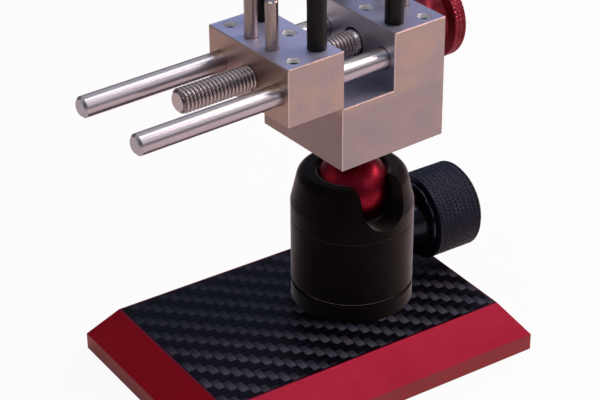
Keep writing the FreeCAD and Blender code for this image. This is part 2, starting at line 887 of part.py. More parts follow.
def lead_screw():
    """Threaded up to the fixed jaw, plain through it, grooved for its clip, into the knob.

    The thread is drawn as one ring per pitch.
    """
    radius = "screw_dia / 2"
    clip_from = "clip_face - joint_fit"
    clip_to = "clip_face + clip_thick + joint_fit"
    end = "knob_face + shank_in_knob"
    body = turned(
        "lead_screw",
        [
            ("0 - screw_reach", "0"),
            ("0 - screw_reach", f"{radius} - screw_end_bevel"),
            ("screw_end_bevel - screw_reach", radius),
            (clip_from, radius),
            (clip_from, "clip_bore / 2"),
            (clip_to, "clip_bore / 2"),
            (clip_to, radius),
            (end, radius),
            (end, "0"),
        ],
        along="X",
    )
    half_flat = "thread_flat / 2"
    mouth_from = f"screw_end_bevel - screw_reach + {half_flat}"
    mouth_to = f"screw_end_bevel - screw_reach + screw_pitch - {half_flat}"
    middle = "screw_end_bevel - screw_reach + screw_pitch / 2"
    made = outline(
        new_sketch(body, "XZ_Plane"),
        [
            (mouth_from, f"{radius} + thread_deep"),
            (mouth_from, radius),
            (f"{middle} - {half_flat}", f"{radius} - thread_deep"),
            (f"{middle} + {half_flat}", f"{radius} - thread_deep"),
            (mouth_to, radius),
            (mouth_to, f"{radius} + thread_deep"),
        ],
    )
    groove = feature(body, "Groove", made)
    groove.ReferenceAxis = (made, ["H_Axis"])
    groove.Angle = 360.0
    doc.recompute()
    before = body.Shape.Volume
    turns = int((size("screw_reach") - size("screw_end_bevel") + size("slot_face")) / size("screw_pitch"))
    rings = body.newObject("PartDesign::LinearPattern", "lead_screw_rings")
    rings.Originals = [groove]
    rings.Direction = (plane_of(body, "X_Axis"), [""])
    rings.Occurrences = turns
    bind(rings, "Length", f"screw_pitch * {turns - 1}")
    body.Tip = rings
    doc.recompute()
    if not body.Shape.Volume < before - 1:
        raise ValueError("the thread's rings cut nothing")
    put(body, z="rod_high", turned_with_vise=True)


def ring(label, start, thick, inner, outer):
    """A flat ring across the screw's line."""
    return turned(
        label,
        [(start, inner), (start, outer), (f"{start} + {thick}", outer), (f"{start} + {thick}", inner)],
        along="X",
    )


def screw_clip():
    """Open clip in the screw's groove, held in the block's end behind the thrust washer."""
    body = ring("screw_clip", "clip_face", "clip_thick", "clip_bore / 2 + joint_fit", "clip_dia / 2")
    half = "clip_gap / 2"
    made = outline(
        new_sketch(body, "YZ_Plane", "clip_face"),
        [(f"0 - {half}", "0"), (half, "0"), (half, "clip_dia"), (f"0 - {half}", "clip_dia")],
    )
    pocket(body, made, "clip_thick", forward=True)
    put(body, z="rod_high", turned_with_vise=True)


def thrust_washer():
    """Pressed flush into the block's end, between the clip and the knob's hub."""
    body = ring("thrust_washer", "washer_face", "washer_thick", "screw_dia / 2 + joint_fit", "washer_dia / 2")
    put(body, z="rod_high", turned_with_vise=True)


def jaw_knob():
    """Knob with a flared hub and a knurled rim, bored blind for the screw's shank."""
    inner = "screw_dia / 2 + joint_fit"
    rim = "jaw_knob_dia / 2"
    bottom = "knob_face + shank_in_knob + joint_fit"
    body = turned(
        "jaw_knob",
        [
            ("knob_face", inner),
            ("knob_face", "hub_small_dia / 2"),
            ("knob_face + hub_straight", "hub_small_dia / 2"),
            ("knob_end - jaw_knob_rim", "hub_large_dia / 2"),
            ("knob_end - jaw_knob_rim", f"{rim} - jaw_knob_edge"),
            ("knob_end - jaw_knob_rim + jaw_knob_edge", rim),
            ("knob_end - jaw_knob_edge", rim),
            ("knob_end", f"{rim} - jaw_knob_edge"),
            ("knob_end", "0"),
            (bottom, "0"),
            (bottom, inner),
        ],
        along="X",
    )
    made = circle(new_sketch(body, "XY_Plane"), "knob_face + grub_from_face", "0", "grub_dia / 2 + joint_fit")
    pocket(body, made, "hub_large_dia")
    put(body, z="rod_high", turned_with_vise=True)


def knob_grub_screw():
    """Holds the knob on the screw's shank, from the hub's side, sunk just below its surface."""
    top = "0 - screw_dia / 2 - joint_fit - grub_long"
    blank = solid("Cylinder", "knob_grub_blank", Radius="grub_dia / 2", Height="grub_long")
    hexagon = solid("Prism", "knob_grub_hex", Circumradius="grub_hex_dia / 2", Height="grub_hex_deep")
    hexagon.Polygon = 6
    made = cut("knob_grub_screw", blank, hexagon)
    put(made, x="knob_face + grub_from_face", z=f"rod_high + {top}", turned_with_vise=True)


def pin(label, x, y, high):
    """Plain steel pin that stands in one of the jaw's holes."""
    radius = "pin_dia / 2"
    body = turned(
        label,
        [
            ("0", "0"),
            (f"{radius} - pin_end_bevel", "0"),
            (radius, "pin_end_bevel"),
            (radius, f"pin_hole_deep + {high} - pin_end_bevel"),
            (f"{radius} - pin_end_bevel", f"pin_hole_deep + {high}"),
            ("0", f"pin_hole_deep + {high}"),
        ],
    )
    put(body, x=x, y=y, z="block_high - pin_hole_deep", turned_with_vise=True)


def sleeve(label, x, y):
    """Soft black tube over a post, from the jaw's top to just short of the post's end."""
    inner = "pin_dia / 2 + sleeve_fit"
    outer = "sleeve_dia / 2"
    top = "post_high - sleeve_short_of_end"
    body = turned(label, [(inner, "sleeve_lift"), (outer, "sleeve_lift"), (outer, top), (inner, top)])
    put(body, x=x, y=y, z="block_high", turned_with_vise=True)


# ---------------------------------------------------------------- the whole vise

nodes = []
fill_sheet()

base_plate()
carbon_sheet()
grip_pad()
base_screw()
head_foot()
pan_washer()
pan_screw()
head_body()
head_socket()
ball_seat()
lock_wedge()
lock_screw()
lock_collar()
lock_knob()
ball_stem()
stem_stud()
vise_block()
guide_rod("guide_rod_front", "0 - rod_spacing / 2")
guide_rod("guide_rod_back", "rod_spacing / 2")
lead_screw()
screw_clip()
thrust_washer()
jaw_knob()
knob_grub_screw()
moving_jaw()

ROWS = {
    "moving": ("jaw_front - jaw_row_inset", "jaw_back + jaw_row_inset"),
    "fixed": ("slot_face + pin_row_inset", "block_side / 2 - pin_row_inset"),
}
for jaw, (near_row, far_row) in ROWS.items():
    pin(f"{jaw}_jaw_short_pin", far_row, "0 - pin_near_y", "short_pin_high")
    pin(f"{jaw}_jaw_tall_pin", far_row, "pin_near_y", "tall_pin_high")
    for side, place in (("front", "0 - post_y"), ("back", "post_y")):
        pin(f"{jaw}_jaw_{side}_post", near_row, place, "post_high")
        sleeve(f"{jaw}_jaw_{side}_sleeve", near_row, place)

doc.recompute()

for made in doc.Objects:
    if "Invalid" in made.State or "Error" in made.State:
        raise ValueError("%s failed: %s" % (made.Label, made.State))
for node in nodes:
    shape = node.Shape
    if shape.isNull() or not shape.isValid() or not shape.Solids:
        raise ValueError("%s has no valid solid" % node.Label)

os.makedirs("parts", exist_ok=True)
for node in nodes:
    node.Shape.exportStep(os.path.join("parts", node.Label + ".step"))
print(len(nodes), "sub-parts written")
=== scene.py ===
"""Looks for the ball head vise: detailed pieces, materials, light and the photo's camera.

Lengths are in millimetres until they reach a mesh, which is in metres. The vise's own pieces
are drawn along the lead screw's line, which the frame gives, from the ball head's axis.
"""

import json
import math

import bpy
from mathutils import Matrix, Vector

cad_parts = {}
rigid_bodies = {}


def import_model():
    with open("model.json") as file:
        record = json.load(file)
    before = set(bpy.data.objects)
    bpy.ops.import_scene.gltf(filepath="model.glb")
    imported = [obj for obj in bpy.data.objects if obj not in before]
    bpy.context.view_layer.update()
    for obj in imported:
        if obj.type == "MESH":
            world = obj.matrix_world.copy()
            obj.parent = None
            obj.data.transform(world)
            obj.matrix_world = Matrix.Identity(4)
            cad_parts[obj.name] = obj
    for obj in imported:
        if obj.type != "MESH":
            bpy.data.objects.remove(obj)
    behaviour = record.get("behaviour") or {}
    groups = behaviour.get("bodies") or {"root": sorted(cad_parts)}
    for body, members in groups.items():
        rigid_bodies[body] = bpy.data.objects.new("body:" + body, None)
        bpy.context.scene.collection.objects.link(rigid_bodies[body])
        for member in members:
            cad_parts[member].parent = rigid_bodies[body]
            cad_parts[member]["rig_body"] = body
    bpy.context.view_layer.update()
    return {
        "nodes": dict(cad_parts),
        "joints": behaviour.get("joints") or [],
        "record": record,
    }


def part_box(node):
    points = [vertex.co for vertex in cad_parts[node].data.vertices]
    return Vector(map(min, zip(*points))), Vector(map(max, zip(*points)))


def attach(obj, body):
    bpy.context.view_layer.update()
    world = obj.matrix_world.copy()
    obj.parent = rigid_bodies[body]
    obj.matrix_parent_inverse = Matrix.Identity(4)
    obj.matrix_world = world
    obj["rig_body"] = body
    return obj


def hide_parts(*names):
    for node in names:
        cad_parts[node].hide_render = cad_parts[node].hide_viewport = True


MM = 0.001
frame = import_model()


# ---------------------------------------------------------------- places taken from the frame
JOINTS = {joint["name"]: joint for joint in frame["joints"]}
HEAD_AXIS = Vector(JOINTS["ball_tilt"]["pos_m"]) / MM
BALL_HIGH = HEAD_AXIS.z
BLOCK_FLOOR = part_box("vise_block")[0].z / MM
SCREW_LINE = Vector(JOINTS["screw_turn"]["axis"])
SCREW_HIGH = JOINTS["screw_turn"]["pos_m"][2] / MM
ACROSS_SCREW = SCREW_LINE.cross(Vector((0, 0, 1)))
LOCK_HIGH = JOINTS["lock_turn"]["pos_m"][2] / MM


def along(line, origin):
    """The matrix that lays a piece's own Z along a level line, with its X up."""
    line = line.normalized()
    up = Vector((0, 0, 1))
    side = line.cross(up)
    turn = Matrix((up, side, line)).transposed().to_4x4()
    return Matrix.Translation(origin) @ turn


UPRIGHT = Matrix.Translation(HEAD_AXIS)
ON_SCREW = along(SCREW_LINE, Vector((HEAD_AXIS.x, HEAD_AXIS.y, SCREW_HIGH)))
ON_LOCK = along(Vector((1, 0, 0)), Vector((HEAD_AXIS.x, HEAD_AXIS.y, LOCK_HIGH)))


def span(node, place):
    """Where a node starts and ends along a place's own Z, and how wide it is round it, in mm."""
    back = place.inverted()
    points = [back @ (vertex.co / MM) for vertex in frame["nodes"][node].data.vertices]
    reach = [point.z for point in points]
    return min(reach), max(reach), max(math.hypot(point.x, point.y) for point in points)


def jaw_reach(node):
    """Where a jaw's two faces lie along the screw's line, in mm, read near the jaw's top."""
    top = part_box(node)[1].z / MM
    points = [vertex.co / MM for vertex in frame["nodes"][node].data.vertices]
    reach = [(ON_SCREW.inverted() @ point).z for point in points if point.z > top - 1]
    return min(reach), max(reach)


def towards(azimuth, elevation):
    """The level direction turned by azimuth, in degrees from -Y towards +X, and raised by elevation."""
    a, e = math.radians(azimuth), math.radians(elevation)
    return Vector((math.sin(a) * math.cos(e), -math.cos(a) * math.cos(e), math.sin(e)))


# how far the rods' middles lie from the screw's
ROD_ACROSS = 10.8
# how far down the pin holes' walls are white, a painted light, and how deep the holes are
PIN_HOLE_PAINTED_LIGHT, PIN_HOLE_DEEP = 1.25, 3.9
# the bevel at the lock knob's end, and where its plain darker colour, a painted shade, starts, just short of
# the bevel
LOCK_KNOB_BEVEL = 1.2
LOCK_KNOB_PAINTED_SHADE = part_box("lock_knob")[1].x / MM - LOCK_KNOB_BEVEL - 0.15
# a face looks along an axis where more than this part of its direction lies along it
SQUARE_ON = 0.9


# ---------------------------------------------------------------- meshes


def skin(name, rings, place):
    """A closed skin through rings of points, in mm. A ring of one point closes an end."""
    points, rows = [], []
    for ring in rings:
        rows.append(range(len(points), len(points) + len(ring)))
        points += ring
    faces = []
    for low, high in zip(rows, rows[1:]):
        count = max(len(low), len(high))
        for i in range(count):
            j = (i + 1) % count
            corner = [low[i % len(low)], low[j % len(low)], high[j % len(high)], high[i % len(high)]]
            faces.append(list(dict.fromkeys(corner)))
    mesh = bpy.data.meshes.new(name)
    mesh.from_pydata([place @ Vector(p) * MM for p in points], [], faces)
    mesh.validate()
    mesh.shade_smooth()
    mesh.set_sharp_from_angle(angle=math.radians(32))
    made = bpy.data.objects.new(name, mesh)
    bpy.context.scene.collection.objects.link(made)
    return made


def arc(centre, radius, start, end, steps):
    """Points of an arc in a profile, from one angle to another, in degrees. 0 is outwards."""
    angles = [math.radians(start + (end - start) * i / steps) for i in range(steps + 1)]
    return [(centre[0] + radius * math.sin(a), centre[1] + radius * math.cos(a)) for a in angles]


def round_at(reach, radii):
    """Points evenly round a place's own Z, all at one reach along it, one for each radius."""
    points = []
    for i, radius in enumerate(radii):
        angle = 2 * math.pi * i / len(radii)
        points.append((radius * math.cos(angle), radius * math.sin(angle), reach))
    return points


def smooth(reach, radius, turn):
    """The relief of a surface that has none."""
    return 0.0


def turned(name, profile, place, steps=128, relief=smooth):
    """A turned piece. relief(reach, radius, turn) is how much lower its surface lies there."""
    rings = []
    for reach, radius in profile:
        if radius == 0.0:
            rings.append([(0.0, 0.0, reach)])
        else:
            rings.append(round_at(reach, [radius - relief(reach, radius, i / steps) for i in range(steps)]))
    return skin(name, rings, place)


def stretch(start, end, count):
    """Evenly spaced values from start to end, without the last one."""
    return [start + (end - start) * i / count for i in range(count)]


def tooth(value):
    """A wave of ridges and grooves, 0 in the groove and 1 on the ridge."""
    return abs((value % 1.0) * 2 - 1)


def diamonds(rows, lead, deep, start, end, fade, rim):
    """Relief of a diamond knurl on a rim of radius rim, from start to end, faded out at each end."""
    off_rim, steep = 0.05, 1.5

    def relief(reach, radius, turn):
        if radius < rim - off_rim:
            return 0.0
        edge = max(0.0, min(1.0, (reach - start) / fade, (end - reach) / fade))
        height = min(tooth(rows * turn + reach / lead), tooth(rows * turn - reach / lead))
        return deep * edge * (1 - min(1.0, steep * height))

    return relief


# ---------------------------------------------------------------- materials


class Finish:
    """A procedural material built round one Principled shader."""

    def __init__(self, name, **constants):
        self.material = bpy.data.materials.new(name)
        self.material.use_nodes = True
        self.tree = self.material.node_tree
        self.shader = self.tree.nodes["Principled BSDF"]
        for socket, value in constants.items():
            self.shader.inputs[socket.replace("_", " ")].default_value = value
        self.own = self.node("ShaderNodeTexCoord").outputs
        self.place = self.own["Object"]

    def node(self, kind, inputs=None, **settings):
        made = self.tree.nodes.new(kind)
        for name, value in settings.items():
            setattr(made, name, value)
        for name, value in (inputs or {}).items():
            self.feed(made.inputs[name], value)
        return made

    def feed(self, socket, value):
        """Links another node's output to a socket, or sets the socket to a constant."""
        if isinstance(value, bpy.types.NodeSocket):
            self.tree.links.new(value, socket)
        else:
            socket.default_value = value

    def scaled(self, scale, turn=(0, 0, 0)):
        """The point in mm, turned and then stretched by scale along each axis."""
        inputs = {"Vector": self.place, "Rotation": turn}
        turned_place = self.node("ShaderNodeMapping", inputs, vector_type="TEXTURE").outputs[0]
        per_mm = tuple(s / MM for s in scale)
        return self.node("ShaderNodeMapping", {"Vector": turned_place, "Scale": per_mm}).outputs[0]

    def noise(self, scale, detail, rough=0.55, turn=(0, 0, 0)):
        """Noise with about scale[i] bumps per mm along each axis."""
        inputs = {"Vector": self.scaled(scale, turn), "Scale": 1.0, "Detail": detail, "Roughness": rough}
        return self.node("ShaderNodeTexNoise", inputs).outputs["Fac"]

    def math(self, operation, *values):
        made = self.node("ShaderNodeMath", operation=operation)
        for socket, value in zip(made.inputs, values):
            self.feed(socket, value)
        return made.outputs[0]

    def spread(self, value, low, high, to_low=0.0, to_high=1.0):
        """To_low at low and below, to_high at high and above, and evenly in between."""
        inputs = {"Value": value, "From Min": low, "From Max": high, "To Min": to_low, "To Max": to_high}
        return self.node("ShaderNodeMapRange", inputs, clamp=True).outputs[0]

    def follow(self, noise, to_low, to_high):
        """To_low in a noise's lows and to_high in its highs."""
        return self.spread(noise, 0.3, 0.7, to_low, to_high)

    def both(self, first, second):
        """1 where both masks are 1, and 0 where one is 0."""
        return self.math("MULTIPLY", first, second)

    def mix(self, amount, first, second):
        made = self.node("ShaderNodeMix", data_type="RGBA")
        for index, value in ((0, amount), (6, first), (7, second)):
            self.feed(made.inputs[index], value)
        return made.outputs[2]

    def over(self, colour, *layers):
        """The colour with layers of (mask, tone) laid over it in turn."""
        for mask, tone in layers:
            colour = self.mix(mask, colour, tone)
        return colour

    def split(self, point=None):
        return self.node("ShaderNodeSeparateXYZ", {0: self.place if point is None else point}).outputs

    def facing(self):
        """Which way the surface faces, along the piece's own x, y and z."""
        return self.split(self.own["Normal"])

    def relief(self, height, distance, below=None):
        """Adds a bump whose full height is distance, in mm."""
        inputs = {"Height": height, "Distance": distance * MM, "Strength": 1.0}
        made = self.node("ShaderNodeBump", inputs)
        if below is not None:
            self.feed(made.inputs["Normal"], below)
        return made.outputs[0]

    def done(self, colour, roughness, normal):
        for name, value in (("Base Color", colour), ("Roughness", roughness), ("Normal", normal)):
            self.feed(self.shader.inputs[name], value)
        return self.material


class ViseFinish(Finish):
    """A finish that knows where a point lies along, across and above the lead screw's line, in mm."""

    def __init__(self, name, **constants):
        super().__init__(name, **constants)
        self.along, self.across, self.above = map(self.reach, (SCREW_LINE, ACROSS_SCREW, Vector((0, 0, 1))))

    def reach(self, line):
        """How far along a line the point lies, from the lead screw's own place."""
        centre = tuple(ON_SCREW.translation * MM)
        offset = self.node("ShaderNodeVectorMath", {0: self.place, 1: centre}, operation="SUBTRACT")
        inputs = {0: offset.outputs[0], 1: tuple(line / MM)}
        return self.node("ShaderNodeVectorMath", inputs, operation="DOT_PRODUCT").outputs["Value"]

    def within(self, value, low, high):
        """1 where the value lies between low and high, else 0."""
        return self.both(self.math("GREATER_THAN", value, low), self.math("LESS_THAN", value, high))

    def from_bar(self, across):
        """How far a point is from the middle of a bar that lies beside the screw, at its height."""
        side = self.math("POWER", self.math("SUBTRACT", self.across, across), 2.0)
        return self.math("SQRT", self.math("ADD", side, self.math("POWER", self.above, 2.0)))

    def in_pin_holes(self, low, high):
        """1 on the walls of the pin holes between two depths under the jaws' tops, else 0."""
        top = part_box("vise_block")[1].z / MM - SCREW_HIGH
        rim, half_wide = 0.3, 14.7
        jaws = [
            self.within(self.along, near + rim, far - rim)
            for near, far in map(jaw_reach, ("moving_jaw", "vise_block"))
        ]
        inside = self.both(self.within(self.above, top - high, top - low), self.math("MAXIMUM", *jaws))
        return self.both(inside, self.within(self.across, -half_wide, half_wide))


def rgba(r, g, b):
    return (r, g, b, 1.0)


def shade(tone, factor=1.0):
    return rgba(*(value * factor for value in tone))


def anodised_red(name, bright, dark, grain=6.0, wall_top=None):
    """Red anodised aluminium: fine blasted grain, slow changes of depth, faint handling marks.

    With wall_top, in mm, the piece is the base plate, with painted shade: its upright wall under that
    height is dull and brownish in patches, its bevel on the -X side is a darker, purer red, and its
    top's narrow rim is deeper, a painted shadow line.
    """
    made = Finish(name, Metallic=1.0)
    cloud = made.noise((0.09, 0.09, 0.09), detail=4)
    speck = made.noise((grain, grain, grain), detail=2)
    marks = made.noise((0.25, 3.2, 0.25), detail=5, turn=(0, 0, math.radians(24)))
    worn = made.math("MULTIPLY", made.spread(marks, 0.62, 0.78), 0.25)
    colour = made.mix(made.spread(cloud, 0.35, 0.68), rgba(*bright), rgba(*dark))
    colour = made.mix(worn, colour, rgba(0.75, 0.18, 0.2))
    if wall_top is not None:
        sideways, _, upward = made.facing()
        low = made.math("LESS_THAN", made.split()[2], wall_top * MM)
        # painted shade: the upright wall under wall_top is darker and brownish, in patches
        wall = made.both(low, made.math("LESS_THAN", upward, 0.3))
        colour = made.over(
            colour,
            # painted shade: the bevel that faces -X is a darker, purer red
            (made.math("LESS_THAN", sideways, -0.5), rgba(0.46, 0.007, 0.024)),
            (made.both(wall, made.follow(marks, 0.5, 0.8)), rgba(0.2, 0.066, 0.064)),
            # painted shadow: the narrow flat rim round the top is dark red
            (made.math("GREATER_THAN", upward, SQUARE_ON), rgba(0.14, 0.008, 0.022)),
        )
    rough = made.math("ADD", made.follow(speck, 0.27, 0.4), made.follow(cloud, -0.03, 0.06))
    return made.done(colour, rough, made.relief(speck, 0.012))


def carbon_twill():
    """Two-by-two twill of flat tows under clear resin. Each tow runs over two and under two.

    The tows that run to the back carry a painted sheen: they are light, lighter at each float's front
    end, and fade towards the back. The others are nearly black.
    """
    tow_x, tow_y, start_x, start_y = 2.05, 1.98, 0.11, 0.05
    repeat, phase = 4.0, 403.0  # the phase also keeps the count of tows above zero
    sheen_fade_from, sheen_fade_to = -14.0, 26.0
    made = Finish("carbon_twill", Specular_IOR_Level=0.06)
    x, y, _ = made.split(made.scaled((1 / tow_x, 1 / tow_y, 1.0)))
    x, y = made.math("SUBTRACT", x, start_x), made.math("SUBTRACT", y, start_y)
    tows = made.math("ADD", made.math("FLOOR", x), made.math("FLOOR", y))
    step = made.math("MODULO", made.math("ADD", tows, phase), repeat)
    warp_up = made.math("LESS_THAN", step, 1.5)
    across_x, across_y = made.math("FRACT", x), made.math("FRACT", y)

    def crown(value, sharp):
        """How high the tow stands at value across it, 0 to 1."""
        off = made.math("ABSOLUTE", made.math("SUBTRACT", value, 0.5))
        return made.math("SUBTRACT", 1.0, made.math("POWER", made.math("MULTIPLY", off, 2.0), sharp))

    along_warp = made.math("MULTIPLY", made.math("ADD", across_y, step), 0.5)
    along_weft = made.math("MULTIPLY", made.math("ADD", across_x, made.math("SUBTRACT", step, 2.0)), 0.5)
    warp = made.math("MULTIPLY", crown(across_x, 4.0), crown(along_warp, 3.0))
    weft = made.math("MULTIPLY", crown(across_y, 4.0), crown(along_weft, 3.0))
    height = made.node("ShaderNodeMix", {0: warp_up, 2: weft, 3: warp}).outputs[0]
    fibre_x = made.noise((0.25, 9.0, 1.0), detail=2)
    fibre_y = made.noise((9.0, 0.25, 1.0), detail=2)
    fibre = made.node("ShaderNodeMix", {0: warp_up, 2: fibre_x, 3: fibre_y}).outputs[0]
    streak = made.spread(fibre, 0.35, 0.65)
    # painted sheen: the tows that run to the back are light, lighter at each float's front end
    sheen_near_end = made.mix(streak, rgba(0.026, 0.025, 0.036), rgba(0.072, 0.069, 0.09))
    sheen_far_end = made.mix(streak, rgba(0.01, 0.009, 0.014), rgba(0.027, 0.025, 0.036))
    light = made.mix(made.spread(along_warp, 0.25, 0.75), sheen_near_end, sheen_far_end)
    # the painted sheen fades towards the back
    faded = made.spread(made.split()[1], sheen_fade_from * MM, sheen_fade_to * MM, 0.0, 0.75)
    light = made.mix(faded, light, rgba(0.005, 0.0045, 0.007))
    dark = made.mix(streak, rgba(0.0006, 0.0002, 0.0014), rgba(0.0028, 0.002, 0.0055))
    colour = made.mix(made.spread(height, 0.0, 0.3), dark, made.mix(warp_up, dark, light))
    normal = made.relief(fibre, 0.012, below=made.relief(height, 0.1))
    return made.done(colour, made.follow(fibre, 0.34, 0.5), normal)


def turned_black(name, tone, rough, gloss, axis=2, sheen=0.0, tint=(1, 1, 1), plain_from=None):
    """Black anodised aluminium with the fine rings that turning leaves, and slow changes of gloss.

    The rings lie round the axis, 0 for X and 2 for Z. From plain_from along it, in mm, the colour is
    plain and darker, a painted shade.
    """
    made = Finish(
        name,
        Specular_IOR_Level=gloss,
        Specular_Tint=rgba(*tint),
        Sheen_Weight=sheen,
        Sheen_Roughness=0.3,
        Sheen_Tint=rgba(1.0, 0.86, 0.84),
    )
    ring_scale = [0.02, 0.02, 0.02]
    ring_scale[axis] = 14.0
    rings = made.noise(ring_scale, detail=2)
    cloud = made.noise((0.14, 0.14, 0.14), detail=4)
    speck = made.noise((5.0, 5.0, 5.0), detail=2)
    colour = made.mix(made.spread(cloud, 0.35, 0.7), shade(tone), shade(tone, 1.8))
    if plain_from is not None:
        # painted shade: from plain_from on, the colour is plain and darker
        plain = made.math("GREATER_THAN", made.split()[axis], plain_from * MM)
        colour = made.mix(plain, colour, rgba(0.0008, 0.0007, 0.0014))
    rough = made.math("ADD", made.follow(rings, *rough), made.follow(cloud, -0.04, 0.05))
    normal = made.relief(speck, 0.006, below=made.relief(rings, 0.006))
    return made.done(colour, rough, normal)


def milled_satin():
    """Satin aluminium: a fine grain with faint upright milling lines, and slow beige and lilac smudges.

    Light and shade are painted in: the block's foot is greyer and darker, and the sides that face -X
    are browner, as painted shade; the slot's inside is a light bluish grey and the tops are lilac, the
    fixed jaw's darker, as painted reflection. The upright edges between -X and -Y carry a painted
    highlight, and the chamfers of the tops are dulled by painted shade. The bars stand in dark rings of
    painted shadow. The pin holes' walls carry painted light near the top and painted shade below.
    """
    painted_foot_shade_high = (-9.0, -7.5)
    slot_along, slot_above = (-14.7, 0.05), (-6.9, 7.4)
    painted_top_light_along = (-14.0, 0.0)
    screw_gap_shadow, rod_gap_shadow, gap_shadow_along = (3.0, 3.6), (2.4, 2.7), (-0.5, 0.6)
    hole_mouth = 0.1
    painted_highlight_normals, shaded_chamfer_normals = (-0.85, -0.5), (0.4, SQUARE_ON)

    made = ViseFinish("milled_satin")
    grain = made.noise((7.0, 7.0, 7.0), detail=3)
    lines = made.noise((2.6, 2.6, 0.05), detail=3)
    cloud = made.noise((0.17, 0.17, 0.17), detail=5, rough=0.65)
    sideways, backward, upward = made.facing()

    # painted shade: darker and greyer towards the block's foot
    foot = made.spread(made.above, *painted_foot_shade_high, 1.0, 0.0)
    # painted shade: the faces towards -X are browner and darker, the more so at the foot
    side = made.math("LESS_THAN", sideways, -SQUARE_ON)
    side_painted_shade = made.mix(foot, rgba(0.43, 0.3, 0.26), rgba(0.29, 0.215, 0.2))
    # painted reflection: the slot's inside, the fixed jaw's inner face with it, is a light bluish grey
    slot = made.both(made.within(made.along, *slot_along), made.within(made.above, *slot_above))
    # painted reflection: the tops are lilac; painted light and shade: the moving jaw's top lighter, the fixed
    # jaw's darker
    top = made.math("GREATER_THAN", upward, SQUARE_ON)
    fixed = made.spread(made.along, *painted_top_light_along)
    top_painted_reflection = made.mix(fixed, rgba(0.49, 0.47, 0.6), rgba(0.35, 0.34, 0.43))
    # painted highlight: a bright line down the upright edges between -X and -Y
    edge = made.both(made.within(sideways, *painted_highlight_normals), made.within(backward, *painted_highlight_normals))
    # painted shade: the chamfers between the tops and the faces towards -Y are dull and dark
    chamfer_painted_shade = made.both(made.within(upward, *shaded_chamfer_normals), made.math("LESS_THAN", backward, -0.4))
    # painted shadow: dark rings round the screw and the rods where they enter the fixed jaw
    rings = made.within(made.from_bar(0.0), *screw_gap_shadow)
    for across in (-ROD_ACROSS, ROD_ACROSS):
        rings = made.math("MAXIMUM", rings, made.within(made.from_bar(across), *rod_gap_shadow))

    colour = made.over(
        made.mix(made.spread(cloud, 0.38, 0.62), rgba(0.47, 0.365, 0.325), rgba(0.4, 0.345, 0.36)),
        (made.spread(lines, 0.5, 0.78, 0.0, 0.12), rgba(0.58, 0.52, 0.52)),
        (made.math("MULTIPLY", foot, 0.6), rgba(0.34, 0.3, 0.325)),
        (side, side_painted_shade),
        (slot, rgba(0.5, 0.49, 0.56)),
        (top, top_painted_reflection),
        (edge, rgba(0.72, 0.6, 0.58)),
        (chamfer_painted_shade, rgba(0.22, 0.165, 0.16)),
        (made.both(rings, made.within(made.along, *gap_shadow_along)), rgba(0.01, 0.009, 0.012)),
        # painted light: the pin holes' walls are white near the top; painted shade: dark below
        (made.in_pin_holes(hole_mouth, PIN_HOLE_PAINTED_LIGHT), rgba(0.95, 0.95, 0.97)),
        (made.in_pin_holes(PIN_HOLE_PAINTED_LIGHT, PIN_HOLE_DEEP), rgba(0.03, 0.03, 0.04)),
    )
    # the pin holes' walls are not metal, so their painted light and shade show as matt colour
    bare_metal = made.math("SUBTRACT", 1.0, made.in_pin_holes(hole_mouth, PIN_HOLE_DEEP))
    made.feed(made.shader.inputs["Metallic"], bare_metal)
    rough = made.math("ADD", made.follow(grain, 0.34, 0.42), made.follow(cloud, -0.03, 0.05))
    rough = made.math("MULTIPLY_ADD", top, 0.14, rough)
    return made.done(colour, rough, made.relief(grain, 0.01, below=made.relief(lines, 0.004)))


def polished_steel(name, tone, rough, above=None):
    """Ground and polished steel with faint rings round the bar and lengthwise streaks.

    A level bar's upper side has the tone above, where one is given: a painted warm tint that offsets
    the blue light the top reflects.
    """
    painted_top_side = (0.84, 0.96)
    made = Finish(name, Metallic=1.0)
    rings = made.noise((8.0, 0.05, 0.05), detail=2)
    streak = made.noise((0.06, 2.5, 2.5), detail=3)
    colour = made.mix(made.spread(streak, 0.3, 0.75), shade(tone), shade(tone, 0.86))
    # painted reflection: the upper side gets a warm tint that offsets the blue light it reflects
    if above is not None:
        colour = made.mix(made.spread(made.facing()[2], *painted_top_side), colour, rgba(*above))
    rough = made.math("ADD", made.follow(rings, *rough), made.spread(streak, 0.35, 0.7, 0.0, 0.02))
    return made.done(colour, rough, made.relief(rings, 0.0001))


def thread_steel():
    """Rolled thread: bright crests, roots darkened with painted shade, and an end face without that shade."""
    root, crest = 2.45, 2.9
    made = ViseFinish("thread_steel", Metallic=1.0)
    end = span("lead_screw", ON_SCREW)[0]
    on_end = made.math("LESS_THAN", made.along, end + 0.05)
    # painted shade: the thread's roots are dark; the end face and the crests keep the light colour, with
    # darker specks
    outside_root_shade = made.math("MAXIMUM", made.spread(made.from_bar(0.0), root, crest), on_end)
    speck = made.noise((3.0, 3.0, 3.0), detail=4)
    outside_root_shade = made.math("MULTIPLY", outside_root_shade, made.spread(speck, 0.2, 0.6, 0.75, 1.0))
    colour = made.mix(outside_root_shade, rgba(0.2, 0.17, 0.17), rgba(0.6, 0.52, 0.52))
    return made.done(colour, made.follow(speck, 0.24, 0.36), made.relief(speck, 0.01))


def shrink_tube():
    """Black shrunk tube: soft sheen, faint lengthwise drag marks and specks of dust."""
    made = Finish("shrink_tube", Specular_IOR_Level=0.2)
    drag = made.noise((1.6, 1.6, 0.08), detail=3)
    speck = made.noise((2.4, 2.4, 2.4), detail=5)
    colour = made.mix(made.spread(drag, 0.3, 0.75), rgba(0.003, 0.0025, 0.003), rgba(0.011, 0.009, 0.0095))
    colour = made.mix(made.spread(speck, 0.7, 0.86, 0.0, 0.5), colour, rgba(0.14, 0.13, 0.13))
    return made.done(colour, made.follow(drag, 0.3, 0.44), made.relief(drag, 0.03))


